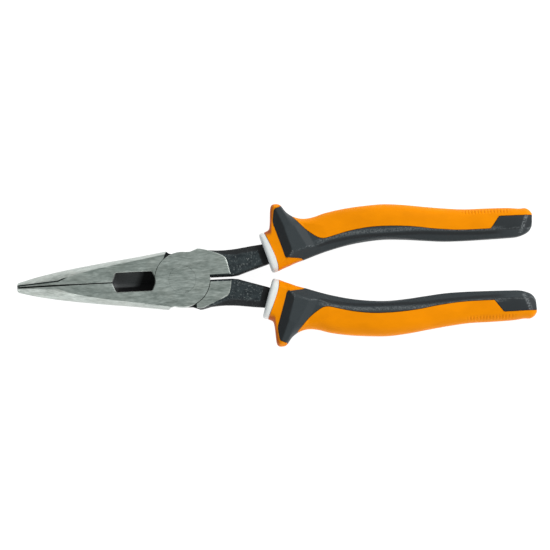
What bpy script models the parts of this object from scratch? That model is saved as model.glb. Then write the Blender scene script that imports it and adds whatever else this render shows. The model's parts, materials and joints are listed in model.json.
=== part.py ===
"""Insulated needle nose pliers with side cutters, as the nine pieces they are assembled from.

The pliers lie flat and closed, nose towards -X. The origin is below the middle of the tool, on the
surface it rests on. Both halves are one shape: half B is half A turned half a turn about the long axis.
Lengths in this file are millimetres, measured from the pivot; add_mesh turns them into metres.
"""

import math

import bmesh
import bpy
import numpy as np

MM = 0.001

# Overall layout
TIP_X = -70.1
END_X = 148.7
CENTRE_X = (TIP_X + END_X) / 2
GUARD_HALF_HEIGHT = 9.2  # the thickest place of the tool, which it rests on

# Steel head
HEAD_HALF_HEIGHT = 6.0
DISC_R = 11.7
RELIEF_R = 11.95
JAW_GAP = 0.15  # from the middle plane to each gripping face
LAYER_GAP = 0.06  # from the middle plane to each joint face
TANG_INNER_Y = 0.9
SHOULDER_X = -6.6
JAW_CREST_SLOPE = 1.08  # the jaw's round section is this much of its half width high, less JAW_CREST_DROP
JAW_CREST_DROP = 0.45
TIP_RINGS = [(TIP_X, 1.4), (TIP_X + 0.25, 1.85)]
SHOULDER_RINGS = [(-5.4, 11.5), (-3.0, 11.2)]
JAW_RINGS_X = (-69.3, -67, -63, -59, -55, -51.5, -48, -43, -37, -30, -22, -14, SHOULDER_X)
JAW_HALF_WIDTH = [(-69.3, 2.15), (-64.5, 3.45), (-59.5, 4.6), (-50, 6.4), (-35, 8.55), (-20, 10.4),
                  (SHOULDER_X, 12.3)]

# The joint's ground pad, which runs out onto the tang, and the two shoulders that limit the opening
PAD_OUTLINE = [(3, TANG_INNER_Y), (20.5, TANG_INNER_Y), (19.7, 5), (18.9, 7.8), (17.4, 9.2), (10.2, 12.0),
               (7.6, 12.75), (6.6, 12.85), (5.2, 12.1), (3.5, 11.35), (1, 11)]
JAW_SHOULDER = (-7.8, -9.2)
JAW_SHOULDER_BEYOND = [(-6.5, -12.1), (-6.2, -14.5), (0, -14.5)]
TANG_SHOULDER = (5.5, 10.3)
TANG_SHOULDER_BEYOND = [(5.5, 14.5), (0, 14.5)]

# Cutter window: one pocket across both jaws, its floor a V down to the two cutting edges
WINDOW_OUTLINE = [(-29.8, 0), (-28.2, 4.05), (-13.3, 4.05), (-12.1, 2.0), (-11.8, 0), (-12.1, -2.0),
                  (-13.3, -4.05), (-28.2, -4.05)]
WINDOW_WALL_Z = -1.0
EDGE_Z = -5.0
EDGE_X = (-27.5, -14.0)

# Rivet
RIVET_R = 4.0
RIVET_HEAD_R = 5.7
RIVET_HEAD_DEPTH = 1.6
RUNNING_CLEARANCE = 0.06

# Handle. A tang section is its inner point, outer point and half height; a rein section is its place along
# the rein, half width and half height
TANG_LINES = [
    ((6, TANG_INNER_Y), (6, 11.2), 5.4),
    ((12, TANG_INNER_Y), (12, 11.8), 5.4),
    ((18, TANG_INNER_Y), (18, 11.6), 5.4),
    ((23.5, 0.95), (23, 11.9), 5.4),
    ((27, 2.1), (26, 12.25), 5.3),
    ((31.5, 3.5), (29.6, 12.75), 5.2),
    ((36.0, 4.9), (33.7, 13.3), 5.1),
]
NECK_HALF_WIDTH = 4.0
NECK_HALF_HEIGHT = 4.8
REIN_SECTIONS = [
    (38.5, NECK_HALF_WIDTH, NECK_HALF_HEIGHT),
    (44, 3.4, 3.9),
    (50, 3.2, 3.5),
    (60, 3.1, 3.3),
    (72, 3.0, 3.2),
    (85, 3.0, 3.1),
    (98, 2.9, 3.0),
    (112, 2.8, 2.9),
    (125, 2.6, 2.8),
    (136, 2.4, 2.6),
]
REIN_LINE = [(35.2, 9.2), (42, 11.4), (50, 14.0), (60, 17.1), (70, 19.3), (85.5, 20.7), (100, 19.5),
             (115, 17.9), (130, 17.4), (140, 17.4)]
SLEEVE_WALL = 1.2
FIT_GAP = 0.3
SKIN = 1.3  # thickness of the overmould
COLLAR_FRONT = ((38.4, 1.2), (33.3, 17.9))
COLLAR_BACK = ((40.4, 1.8), (35.2, 18.3))
COLLAR_HALF_HEIGHT = 7.8
COLLAR_ROUND = 0.7
GRIP_SQUARENESS = 3.0
BAR_SQUARENESS = 4.5
GRIP_SIDES = 16
BAR_SIDES = 12

# The grip's plan: where each cross line meets the inner and the outer edge, and its half height
GUARD_LINES = [
    ((40.7, 1.9), (35.5, 18.4), 7.7),
    ((42.6, 2.7), (37.3, 19.5), 7.8),
    ((43.8, 3.2), (37.9, 22.5), 8.0),
    ((44.9, 3.6), (38.6, 28.0), 8.4),
    ((45.7, 3.9), (39.4, 29.7), 8.8),
    ((46.6, 4.3), (40.9, 30.2), GUARD_HALF_HEIGHT),
    ((47.8, 4.8), (42.5, 29.4), GUARD_HALF_HEIGHT),
    ((49.6, 5.4), (45.0, 26.5), 9.0),
    ((51.6, 6.0), (48.0, 24.4), 8.7),
    ((54.0, 6.8), (51.8, 23.4), 8.4),
    ((57.5, 8.0), (56.0, 23.8), 8.0),
]
GRIP_LINES = [
    ((62.5, 9.5), (61.5, 25.4), 7.8),
    ((70.0, 11.3), (69.5, 26.8), 8.1),
    ((78.0, 12.5), (78.0, 27.6), 8.5),
    ((86.0, 13.0), (86.0, 27.9), 8.7),
    ((94.0, 12.6), (94.5, 27.2), 8.6),
    ((102.0, 11.8), (103.0, 26.0), 8.3),
    ((110.5, 11.0), (111.5, 24.9), 8.0),
    ((119.0, 10.8), (120.0, 24.1), 7.8),
    ((128.0, 10.9), (129.0, 24.0), 7.8),
    ((137.0, 11.1), (138.0, 23.9), 7.8),
    ((143.0, 11.8), (143.8, 23.3), 7.7),
    ((146.4, 13.0), (146.9, 22.5), 7.3),
    ((147.7, 14.4), (148.2, 21.5), 6.6),
    ((148.0, 15.4), (148.7, 20.4), 5.8),
]
BODY_WIDTH = 17.0  # beyond this distance from the inner edge the guard thins towards its tip
GUARD_TIP_THINNING = 0.4

# Where the overmould meets the orange body, in plan, from the guard's tip round to the end
PAD_FRONT = [(45.0, 31.5), (42.8, 28.8), (40.4, 28.0), (39.6, 26.6), (39.2, 21.7), (43.4, 7.8), (44.4, 7.0),
             (50.2, 6.5), (51.3, 5.0), (52.0, -1.0)]
STRIP_EDGE = [(158, 20.2), (135.4, 20.2), (133.6, 18.7), (131.0, 15.4), (129.5, 15.0), (120, 15.0),
              (108, 16.0), (96, 17.6), (85.5, 18.2), (75, 17.5), (66, 15.7), (60.5, 14.4), (57, 15.4),
              (52.5, 18.9), (47.7, 24.2), (46.6, 26.6)]
BOUNDARY_GAP = 0.25


def smooth_line(points, spacing):
    """A smooth line through points in plan, with a point about every spacing."""
    points = np.array(points, float)
    ends = np.vstack([2 * points[0] - points[1], points, 2 * points[-1] - points[-2]])
    line = []
    for a, b, c, d in zip(ends, ends[1:], ends[2:], ends[3:]):
        steps = max(1, round(np.linalg.norm(c - b) / spacing))
        for t in np.arange(steps) / steps:
            square = 2 * a - 5 * b + 4 * c - d
            cube = 3 * b - a - 3 * c + d
            line.append(0.5 * (2 * b + (c - a) * t + square * t**2 + cube * t**3))
    line.append(points[-1])
    return np.array(line)


def rounded_box_ring(inner, outer, half_height, squareness, sides, thinning=0.0):
    """A closed ring in the upright plane over the line from inner to outer: a box with rounded corners."""
    inner, outer = np.array(inner, float), np.array(outer, float)
    middle, half = (inner + outer) / 2, (outer - inner) / 2
    width = 2 * np.linalg.norm(half)
    ring = []
    for k in range(sides):
        angle = 2 * math.pi * k / sides
        c, s = math.cos(angle), math.sin(angle)
        across = -math.copysign(abs(c) ** (2 / squareness), c)
        up = math.copysign(abs(s) ** (2 / squareness), s)
        beyond = max(0.0, (1 + across) * width / 2 - BODY_WIDTH) / max(1.0, width - BODY_WIDTH)
        height = half_height * (1 - thinning * min(1.0, beyond))
        ring.append((*(middle + across * half), up * height))
    return np.array(ring)


def bar_ring(inner, outer, half_height, squareness):
    """A rounded box ring of the rein and of what lies close around it."""
    return rounded_box_ring(inner, outer, half_height, squareness, BAR_SIDES)


def loft_faces(count, sides):
    """Quads between successive rings of sides points each."""
    faces = []
    for r in range(count - 1):
        for k in range(sides):
            a, b = r * sides + k, r * sides + (k + 1) % sides
            faces.append((a, b, b + sides, a + sides))
    return faces


def add_mesh(name, points, faces, parent):
    """A mesh object from points in millimetres, with its faces turned outwards."""
    mesh = bpy.data.meshes.new(name)
    mesh.from_pydata([[c * MM for c in p] for p in points], [], faces)
    shape = bmesh.new()
    shape.from_mesh(mesh)
    bmesh.ops.recalc_face_normals(shape, faces=shape.faces)
    shape.to_mesh(mesh)
    shape.free()
    item = bpy.data.objects.new(name, mesh)
    bpy.context.scene.collection.objects.link(item)
    item.parent = parent
    return item


def add_loft(name, rings, parent):
    """A closed solid through rings of equal length, capped at both ends."""
    sides = len(rings[0])
    last = (len(rings) - 1) * sides
    caps = [tuple(range(sides)), tuple(range(last, last + sides))]
    return add_mesh(name, np.vstack(rings), loft_faces(len(rings), sides) + caps, parent)


def add_prism(name, outline, low, high, parent):
    """An upright prism over a plan outline."""
    rings = [[(x, y, z) for x, y in outline] for z in (low, high)]
    return add_loft(name, rings, parent)


def add_turned(name, profile, sides, parent):
    """A solid turned about the pivot axis from (radius, height) pairs, lowest first."""
    rings = []
    for radius, height in profile:
        turn = [2 * math.pi * k / sides for k in range(sides)]
        rings.append([(radius * math.cos(a), radius * math.sin(a), height) for a in turn])
    return add_loft(name, rings, parent)


def combine(target, tool, operation):
    """Adds a Boolean to target; the tool itself is only a construction shape."""
    tool.hide_render = True
    tool.display_type = "WIRE"
    step = target.modifiers.new(tool.name, "BOOLEAN")
    step.operation = operation
    step.object = tool


def offset_outline(outline, distance):
    """The outline moved outwards by distance; its points run anticlockwise."""
    points = np.array(outline, float)
    before, after = np.roll(points, 1, axis=0), np.roll(points, -1, axis=0)
    moved = []
    for p, q, r in zip(before, points, after):
        first, second = (q - p) / np.linalg.norm(q - p), (r - q) / np.linalg.norm(r - q)
        normal = np.array([first[1] + second[1], -first[0] - second[0]])
        normal /= np.linalg.norm(normal)
        stretch = max(0.5, normal @ (first[1], -first[0]))
        moved.append(q + normal * distance / stretch)
    return moved


def jaw_half_width(x):
    line = smooth_line(JAW_HALF_WIDTH, 1.0)
    return float(np.interp(x, line[:, 0], line[:, 1]))


def jaw_ring(x, half_width, arc_points=6):
    """Section of the lower jaw: flat faces above and below, a round outer side and a flat gripping face."""
    crest = JAW_CREST_SLOPE * half_width - JAW_CREST_DROP
    top = min(HEAD_HALF_HEIGHT, crest * math.sqrt(1 - (JAW_GAP / half_width) ** 2))
    start = math.asin(min(1.0, top / crest))
    upper = [(x, -JAW_GAP, top)]
    for k in range(arc_points):
        angle = start * (1 - k / arc_points)
        edge = max(JAW_GAP + 0.02, half_width * math.cos(angle))
        upper.append((x, -edge, min(top, crest * math.sin(angle))))
    lower = [(px, py, -pz) for px, py, pz in reversed(upper)]
    return upper + [(x, -half_width, 0.0)] + lower


def add_jaw(name, parent):
    sections = TIP_RINGS + [(x, jaw_half_width(x)) for x in JAW_RINGS_X] + SHOULDER_RINGS
    return add_loft(name, [jaw_ring(x, half_width) for x, half_width in sections], parent)


def rein_rings(grow, first_x):
    """Rings of the tang and the rein inside the handle, grown all round by grow."""
    lines = list(TANG_LINES)
    for x, half_width, half_height in REIN_SECTIONS:
        centre, across = rein_frame(x)
        lines.append((centre - across * half_width, centre + across * half_width, half_height))
    rings = []
    for inner, outer, half_height in lines:
        inner, outer = np.array(inner, float), np.array(outer, float)
        if inner[0] < first_x:
            continue
        step = (outer - inner) / np.linalg.norm(outer - inner) * grow
        rings.append(bar_ring(inner - step, outer + step, half_height + grow, BAR_SQUARENESS))
    return rings


def rein_frame(x):
    """The point of the rein's centre line at x, and the unit direction across it, outwards."""
    line = smooth_line(REIN_LINE, 1.0)
    centre = np.array([x, np.interp(x, line[:, 0], line[:, 1])])
    slope = np.interp(x + 1, line[:, 0], line[:, 1]) - np.interp(x - 1, line[:, 0], line[:, 1])
    across = np.array([-slope, 2.0])
    return centre, across / np.linalg.norm(across)


def moved_along(rings, distance):
    """The rings with their last one moved further along the handle."""
    return rings[:-1] + [rings[-1] + np.array([distance, 0, 0])]


def relief_outline(arc_points=56):
    """Plan of what is cut from a half on the other half's side of the lap joint, with the two shoulders."""
    jaw_corner = math.atan2(JAW_SHOULDER[1], JAW_SHOULDER[0])
    tang_corner = math.atan2(TANG_SHOULDER[1], TANG_SHOULDER[0])
    outline = []
    for start, end, beyond in (
        (-math.pi / 2, tang_corner, TANG_SHOULDER_BEYOND),
        (math.pi / 2, 2 * math.pi + jaw_corner, JAW_SHOULDER_BEYOND),
    ):
        count = arc_points // 2
        turn = [start + (end - start) * k / count for k in range(count + 1)]
        outline += [(RELIEF_R * math.cos(a), RELIEF_R * math.sin(a)) for a in turn]
        outline += beyond
    return outline


def add_window_cutter(name, open_side, parent):
    """The cutter window's pocket, opening to the side of the tool that open_side names."""
    points = []
    for z in (HEAD_HALF_HEIGHT + 1, WINDOW_WALL_Z):
        points += [(x, y, z * open_side) for x, y in WINDOW_OUTLINE]
    points += [(x, 0, EDGE_Z * open_side) for x in EDGE_X]
    cutter = add_mesh(name, points, [], parent)
    shape = bmesh.new()
    shape.from_mesh(cutter.data)
    bmesh.ops.convex_hull(shape, input=shape.verts)
    shape.to_mesh(cutter.data)
    shape.free()
    return cutter


def rivet_profile(grow):
    top = HEAD_HALF_HEIGHT + (1.0 if grow else 0.0)
    flare = RIVET_HEAD_R - RIVET_R
    rim = RIVET_HEAD_R + flare / RIVET_HEAD_DEPTH * (top - HEAD_HALF_HEIGHT)
    neck = HEAD_HALF_HEIGHT - RIVET_HEAD_DEPTH
    return [(rim + grow, -top), (RIVET_R + grow, -neck), (RIVET_R + grow, neck), (rim + grow, top)]


def add_forging(name, axis, open_side):
    """One half: its lower jaw, its layer of the lap joint, its tang and the rein inside the handle."""
    item = add_jaw(name, axis)
    disc = add_turned(f"{name}.disc", [(DISC_R, -HEAD_HALF_HEIGHT), (DISC_R, HEAD_HALF_HEIGHT)], 64, axis)
    combine(item, disc, "UNION")
    pad = add_prism(f"{name}.pad", PAD_OUTLINE, -HEAD_HALF_HEIGHT, HEAD_HALF_HEIGHT, axis)
    combine(item, pad, "UNION")
    combine(item, add_loft(f"{name}.rein", rein_rings(0, -100), axis), "UNION")
    relief = add_prism(f"{name}.relief", relief_outline(), -HEAD_HALF_HEIGHT - 2, LAYER_GAP, axis)
    combine(item, relief, "DIFFERENCE")
    combine(item, add_window_cutter(f"{name}.window", open_side, axis), "DIFFERENCE")
    combine(item, add_turned(f"{name}.rivet_hole", rivet_profile(RUNNING_CLEARANCE), 32, axis), "DIFFERENCE")
    return item


def add_sleeve(name, axis):
    """Inner insulating sleeve: a collar in front, a tube round the rein and a closed end."""
    front_inner, front_outer = (np.array(p) for p in COLLAR_FRONT)
    back_inner, back_outer = (np.array(p) for p in COLLAR_BACK)
    across = (front_outer - front_inner) / np.linalg.norm(front_outer - front_inner)
    along = np.array([across[1], -across[0]])
    rim = across * COLLAR_ROUND
    behind_rim = along * COLLAR_ROUND
    rim_height = COLLAR_HALF_HEIGHT - COLLAR_ROUND
    outer = [
        bar_ring(front_inner + rim, front_outer - rim, rim_height, GRIP_SQUARENESS),
        bar_ring(front_inner + behind_rim, front_outer + behind_rim, COLLAR_HALF_HEIGHT, GRIP_SQUARENESS),
        bar_ring(back_inner, back_outer, COLLAR_HALF_HEIGHT, GRIP_SQUARENESS),
    ]
    tube = rein_rings(FIT_GAP + SLEEVE_WALL, 40)
    neck_centre, neck_across = (back_inner + back_outer) / 2, (back_outer - back_inner)
    neck_across = neck_across / np.linalg.norm(neck_across)
    neck_half = NECK_HALF_WIDTH + FIT_GAP + SLEEVE_WALL
    neck_height = NECK_HALF_HEIGHT + FIT_GAP + SLEEVE_WALL
    neck_step = neck_across * neck_half
    outer.append(bar_ring(neck_centre - neck_step, neck_centre + neck_step, neck_height, BAR_SQUARENESS))
    outer += moved_along(tube, FIT_GAP + SLEEVE_WALL)
    item = add_loft(name, outer, axis)
    combine(item, add_loft(f"{name}.bore", moved_along(rein_rings(FIT_GAP, 28), FIT_GAP), axis), "DIFFERENCE")
    return item


def inset_lines(lines, inset):
    """The grip's cross lines with both ends moved in by inset, square to the edge, and less height."""
    ends = [np.array([line[side] for line in lines], float) for side in (0, 1)]
    moved = []
    for edge, turn in zip(ends, (1, -1)):
        run = np.gradient(edge, axis=0)
        run /= np.linalg.norm(run, axis=1)[:, None]
        moved.append(edge + inset * turn * np.column_stack([-run[:, 1], run[:, 0]]))
    return [(i, o, line[2] - inset) for i, o, line in zip(*moved, lines)]


def add_grip_shape(name, inset, axis):
    """The whole grip's outer shape, or the same shape inset, which starts behind the collar."""
    lines = GUARD_LINES + GRIP_LINES
    if inset:
        lines = inset_lines(lines, inset)[1:-1]
    rings = [rounded_box_ring(i, o, h, GRIP_SQUARENESS, GRIP_SIDES, GUARD_TIP_THINNING) for i, o, h in lines]
    return add_loft(name, rings, axis)


def overmould_plan():
    """Plan of the overmould's region, anticlockwise, running wide of the grip where it wraps the edge."""
    return PAD_FRONT + [(158, -1.0)] + STRIP_EDGE


def add_overmould(name, axis):
    item = add_grip_shape(name, 0, axis)
    combine(item, add_prism(f"{name}.region", overmould_plan(), -20, 20, axis), "INTERSECT")
    combine(item, add_grip_shape(f"{name}.core", SKIN, axis), "DIFFERENCE")
    return item


def add_grip(name, axis):
    """The orange body: full size where it shows, and a smaller core under the overmould."""
    item = add_grip_shape(name, 0, axis)
    region = offset_outline(overmould_plan(), BOUNDARY_GAP)
    combine(item, add_prism(f"{name}.region", region, -20, 20, axis), "DIFFERENCE")
    combine(item, add_grip_shape(f"{name}.core", SKIN + FIT_GAP, axis), "UNION")
    bore = rein_rings(2 * FIT_GAP + SLEEVE_WALL, 35)
    combine(item, add_loft(f"{name}.bore", moved_along(bore, 2 * FIT_GAP + SLEEVE_WALL), axis), "DIFFERENCE")
    return item


def material(name, colour, roughness, metallic):
    """A plain material of the piece's colour."""
    made = bpy.data.materials.new(name)
    made.use_nodes = True
    shader = made.node_tree.nodes["Principled BSDF"]
    shader.inputs["Base Color"].default_value = (*colour, 1.0)
    shader.inputs["Roughness"].default_value = roughness
    shader.inputs["Metallic"].default_value = metallic
    return made


def shade(item, colour, roughness, metallic=0.0):
    """Gives a piece its own material, smooth where its faces meet gently."""
    item.data.materials.append(material(item.name, colour, roughness, metallic))
    item.data.shade_smooth()
    item.data.set_sharp_from_angle(angle=math.radians(35))


def add_axis(name, turned):
    """The empty on the pivot axis that a half's pieces hang from."""
    axis = bpy.data.objects.new(name, None)
    bpy.context.scene.collection.objects.link(axis)
    axis.location = (-CENTRE_X * MM, 0, GUARD_HALF_HEIGHT * MM)
    axis.rotation_euler.x = math.pi if turned else 0
    return axis


def build():
    for item in list(bpy.data.objects):
        bpy.data.objects.remove(item)
    steel = (0.42, 0.44, 0.42)
    white = (0.78, 0.79, 0.80)
    orange = (0.90, 0.28, 0.01)
    grey = (0.045, 0.055, 0.062)
    for half, turned, open_side in (("half_a", False, 1), ("half_b", True, -1)):
        axis = add_axis(f"{half}_axis", turned)
        shade(add_forging(f"{half}_forging", axis, open_side), steel, 0.35, 1.0)
        shade(add_sleeve(f"{half}_inner_sleeve", axis), white, 0.4)
        shade(add_grip(f"{half}_grip", axis), orange, 0.45)
        shade(add_overmould(f"{half}_overmould", axis), grey, 0.6)
    rivet = add_turned("pivot_rivet", rivet_profile(0.0), 32, bpy.data.objects["half_a_axis"])
    shade(rivet, steel, 0.35, 1.0)


build()
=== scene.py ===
"""The looks of the insulated needle nose pliers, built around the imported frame.

Lengths in this file are millimetres from the pivot, with z = 0 in the middle of the tool's thickness;
placed() turns them into the frame's metres. Both halves are one shape, and half B is half A turned over
about the X axis.
"""

import json
import math

import bmesh
import bpy
import numpy as np
from mathutils import Matrix, Vector
from mathutils.geometry import delaunay_2d_cdt


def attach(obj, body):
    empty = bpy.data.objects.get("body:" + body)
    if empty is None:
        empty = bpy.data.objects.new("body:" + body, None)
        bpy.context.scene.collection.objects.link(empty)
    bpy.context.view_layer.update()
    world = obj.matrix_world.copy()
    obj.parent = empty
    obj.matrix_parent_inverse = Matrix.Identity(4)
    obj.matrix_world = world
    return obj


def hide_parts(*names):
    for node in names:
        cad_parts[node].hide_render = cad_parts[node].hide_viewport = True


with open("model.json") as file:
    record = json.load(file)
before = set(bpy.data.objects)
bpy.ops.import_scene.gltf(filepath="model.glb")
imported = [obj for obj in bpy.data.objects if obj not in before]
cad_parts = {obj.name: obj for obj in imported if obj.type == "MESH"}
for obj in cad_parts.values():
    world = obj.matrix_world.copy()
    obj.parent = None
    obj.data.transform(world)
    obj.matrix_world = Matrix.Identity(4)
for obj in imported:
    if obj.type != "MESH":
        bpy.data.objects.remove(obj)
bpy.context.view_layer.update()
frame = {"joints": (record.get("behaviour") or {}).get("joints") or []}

MM = 0.001
PIVOT = np.array(frame["joints"][0]["pos_m"])
HALVES = (("half_a", False), ("half_b", True))

# Steel head
TIP_X = -70.1
HEAD_HALF_HEIGHT = 6.0
DISC_R = 11.62
DISC_EDGE = 0.06
DISC_SIDES = 160
RELIEF_R = 11.88
RELIEF_STEP = 0.1  # how much smaller the relief's radius is towards the nose
RELIEF_ARC_POINTS = 61
JAW_GAP = 0.01
SEAM_SLOT = [(-48.5, 0.27), (-46, 0.22)]  # how far the seam opens on each side near the surface
SEAM_SLOT_DEPTH = 1.5
LAYER_GAP = 0.06
TANG_INNER_Y = 0.62
TANG_HALF_HEIGHT = 5.4
SHOULDER_X = -6.6
JAW_CREST_SLOPE = 1.08
JAW_CREST_DROP = 0.45
JAW_HALF_WIDTH = [(-69.3, 2.15), (-64.5, 3.45), (-59.5, 4.6), (-50, 6.4), (-35, 8.6), (-20, 10.5),
                  (SHOULDER_X, 12.42)]
# Sections before and after that line, also x and half width
TIP_RINGS = [(TIP_X, 1.2), (TIP_X + 0.12, 1.55), (TIP_X + 0.4, 1.85)]
SHOULDER_RINGS = [(-5.4, 11.5), (-4.2, 11.2), (-3.0, 11.15)]
TEETH_X = (-69.6, -47.6)
TOOTH_PITCH = 0.9
TOOTH_DEPTH = 0.3
JAW_SQUARENESS = [(-60, 1.4), (-49, 2.0), (SHOULDER_X, 2.0), (-5.4, 7.0)]
# The strip beside the seam at the nose: how far it reaches from the seam and how deep it is, along the tool
SEAM_STRIP = [(-70.1, 0.4), (-67.8, 0.6), (-58.3, 1.15), (-52.3, 1.5), (-48.2, 3.2)]
SEAM_STRIP_DEPTH = [(-70.1, 0.25), (-68, 0.4), (-52.8, 0.4), (-48.2, 0.0)]
STRIP_WALLS = (0.06, 0.6)  # width of the strip's sloping wall above and below

# Cutter window
WINDOW_OUTLINE = [(-29.7, 0), (-28.0, 4.05), (-13.1, 4.05), (-11.9, 2.2), (-11.5, 0), (-11.8, -1.6),
                  (-12.9, -4.1), (-28.0, -4.1)]
WINDOW_CORNER = 0.5
WINDOW_RIM = 0.35
WINDOW_WALL_Z = -1.0
EDGE_Z = -3.0
EDGE_X = (-27.0, -14.2)
EDGE_HALF_WIDTH = 0.02

# The joint's ground pads, on the disc's own face and on the other face, and the shoulders
PAD_INNER_Y = 1.3
PAD_OUTLINE = [(3, PAD_INNER_Y), (20.3, PAD_INNER_Y), (19.6, 4.6), (19.0, 7.2), (18.4, 8.5), (17.2, 9.4),
               (14.0, 10.8), (10.4, 12.0), (7.9, 12.6), (6.8, 12.65), (5.3, 12.05), (3.7, 11.5), (1, 11.4)]
OTHER_PAD = [(3, PAD_INNER_Y), (20.6, PAD_INNER_Y), (20.1, 4.6), (19.5, 6.6), (18.7, 7.7), (17.2, 8.45),
             (14.0, 9.8), (10.4, 11.35), (8.4, 12.25), (6.8, 12.4), (5.3, 11.9), (3.5, 11.2), (1, 11)]
PAD_LIPS = (0.05, 0.3)  # width of the bevel beside the disc, and towards the tang
PAD_LIP_DROP = 0.26
PAD_FLARE = (0.1, 0.03)  # how far the wall below the lip stands out, at its foot and at its top
PAD_BACK_X = 17.0
JAW_SHOULDER = (-7.8, -9.2)
JAW_SHOULDER_BEYOND = [(-6.5, -12.1), (-6.2, -14.5), (0, -14.5)]
TANG_SHOULDER = (5.5, 10.3)
TANG_SHOULDER_BEYOND = [(5.5, 14.5), (0, 14.5)]

# Rivet
RIVET_R = 4.0
RIVET_HEAD_R = 5.7
RIVET_HEAD_DEPTH = 1.6
RIVET_SIDES = 96
RUNNING_CLEARANCE = 0.02

# Tang sections: inner point, outer point, half height, width of the outer bevel, height of its lower edge
TANG_LINES = [
    ((4, TANG_INNER_Y), (4, 10.8), TANG_HALF_HEIGHT, 0.3, 5.0),
    ((8, TANG_INNER_Y), (8, 12.2), TANG_HALF_HEIGHT, 0.3, 5.0),
    ((10, TANG_INNER_Y), (10, 12.0), TANG_HALF_HEIGHT, 0.35, 5.0),
    ((12, TANG_INNER_Y), (12, 11.8), TANG_HALF_HEIGHT, 0.6, 4.7),
    ((15, TANG_INNER_Y), (15, 11.6), TANG_HALF_HEIGHT, 1.4, 4.0),
    ((18, TANG_INNER_Y), (18, 11.6), TANG_HALF_HEIGHT, 2.4, 3.2),
    ((21, TANG_INNER_Y), (20.7, 11.75), TANG_HALF_HEIGHT, 2.9, 2.8),
    ((23.5, 0.95), (23, 11.95), TANG_HALF_HEIGHT, 3.0, 2.7),
    ((27, 2.1), (26, 12.35), 5.35, 3.0, 2.7),
    ((31.5, 3.5), (29.6, 12.85), 5.3, 3.0, 2.7),
    ((36.0, 4.9), (33.7, 13.3), 5.2, 2.9, 2.7),
]
TANG_CHAMFER = 0.9
TANG_CORNER = 0.35
REIN_BEVEL = 1.0
INNER_WALL = (11, 1.6)  # the wall between the tangs lies beyond this x and within this y
REIN_SECTIONS = [  # x, half width, half height
    (38.5, 4.0, 4.8),
    (44, 3.4, 3.9),
    (50, 3.2, 3.5),
    (60, 3.1, 3.3),
    (72, 3.0, 3.2),
    (85, 3.0, 3.1),
    (98, 2.9, 3.0),
    (112, 2.8, 2.9),
    (125, 2.6, 2.8),
    (136, 2.4, 2.6),
]
REIN_LINE = [(35.2, 9.2), (42, 11.4), (50, 14.0), (60, 17.1), (70, 19.3), (85.5, 20.7), (100, 19.5),
             (115, 17.9), (130, 17.4), (140, 17.4)]
BAR_SQUARENESS = 4.5
BAR_SIDES = 40

# Sleeve and collar
SLEEVE_WALL = 1.2
FIT_GAP = 0.3
COLLAR_FRONT = np.array([(38.05, 0.95), (32.85, 17.8)])  # its inner and its outer end
COLLAR_BACK = np.array([(40.3, 1.7), (35.1, 18.25)])
COLLAR_HALF_HEIGHT = 7.75
COLLAR_ROUND = 1.2
COLLAR_MOUTH = np.array([35.55, 9.3])  # where the tang enters the collar's front
MOUTH_HALF_WIDTH = 4.5
MOUTH_HALF_HEIGHT = 5.45
COLLAR_BOW = 1.1
COLLAR_BOW_POWER = 0.6  # under one, the bow is fullest nearer the inner side
COLLAR_RIM_SHARE = 0.42  # how far back the rounded rim reaches, from front to back
COLLAR_BODY_SHARES = (0.6, 0.8, 1.0)
COLLAR_STEP = (2.2, 5.9)  # inset and half height where the collar steps down to the tube

# The grip's cross lines: inner point, outer point, half height
GRIP_SQUARENESS = 3.0
TYPICAL_SECTION = (7.6, 8.2)  # half width and half height that the rows over the grip are spaced by
GUARD_LINES = [
    ((40.5, 1.8), (35.3, 18.35), 7.7),
    ((42.6, 2.7), (37.3, 19.5), 8.0),
    ((43.8, 3.2), (37.9, 22.5), 9.0),
    ((44.9, 3.6), (38.3, 28.0), 9.6),
    ((45.7, 3.9), (39.0, 29.75), 9.8),
    ((46.6, 4.3), (40.6, 30.17), 9.8),
    ((47.8, 4.8), (42.6, 29.6), 9.8),
    ((49.6, 5.4), (45.0, 26.5), 9.6),
    ((51.6, 6.0), (48.0, 24.4), 9.3),
    ((54.0, 6.8), (51.8, 23.4), 9.0),
    ((57.5, 8.0), (56.0, 23.8), 8.5),
]
GRIP_LINES = [
    ((62.5, 9.5), (61.5, 25.4), 8.1),
    ((70.0, 11.3), (69.5, 26.8), 8.2),
    ((78.0, 12.5), (78.0, 27.6), 8.5),
    ((86.0, 13.0), (86.0, 27.9), 8.7),
    ((94.0, 12.6), (94.5, 27.2), 8.6),
    ((102.0, 11.8), (103.0, 26.0), 8.3),
    ((110.5, 11.0), (111.5, 24.9), 8.0),
    ((119.0, 10.8), (120.0, 24.1), 7.8),
    ((128.0, 10.9), (129.0, 24.0), 7.8),
    ((137.0, 11.1), (138.0, 23.8), 7.8),
    ((142.0, 11.35), (143.2, 23.3), 7.75),
    ((145.4, 12.35), (145.9, 23.35), 7.4),
    ((147.2, 13.5), (147.5, 22.55), 6.8),
    ((148.15, 15.0), (148.55, 21.2), 6.0),
]
END_WALL = ((1, 0.93), (2, 0.82), (2, 0.6), (2, 0.4), (2, 0.2), (2, 0.0))  # steps back, share of the height
MAX_HALF_HEIGHT = 9.18
GRID_STEP = 0.45
FINE_STEP = 0.3
RIB_X = (117.5, 140.5)
RIB_PITCH = 1.35
RIB_DEPTH = 0.4
RIB_FADE = 3
RIB_ACROSS = ((0.79, 0.84), (0.93, 1.0))  # shares across where the ribs begin and end
STRIP_X = ((55, 60), (131, 138))  # where the overmould's inner strip begins and ends
ROWS = 66
NEAREST_POINT = 0.22  # the grid stays this far from the points along the overmould's edge

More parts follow.
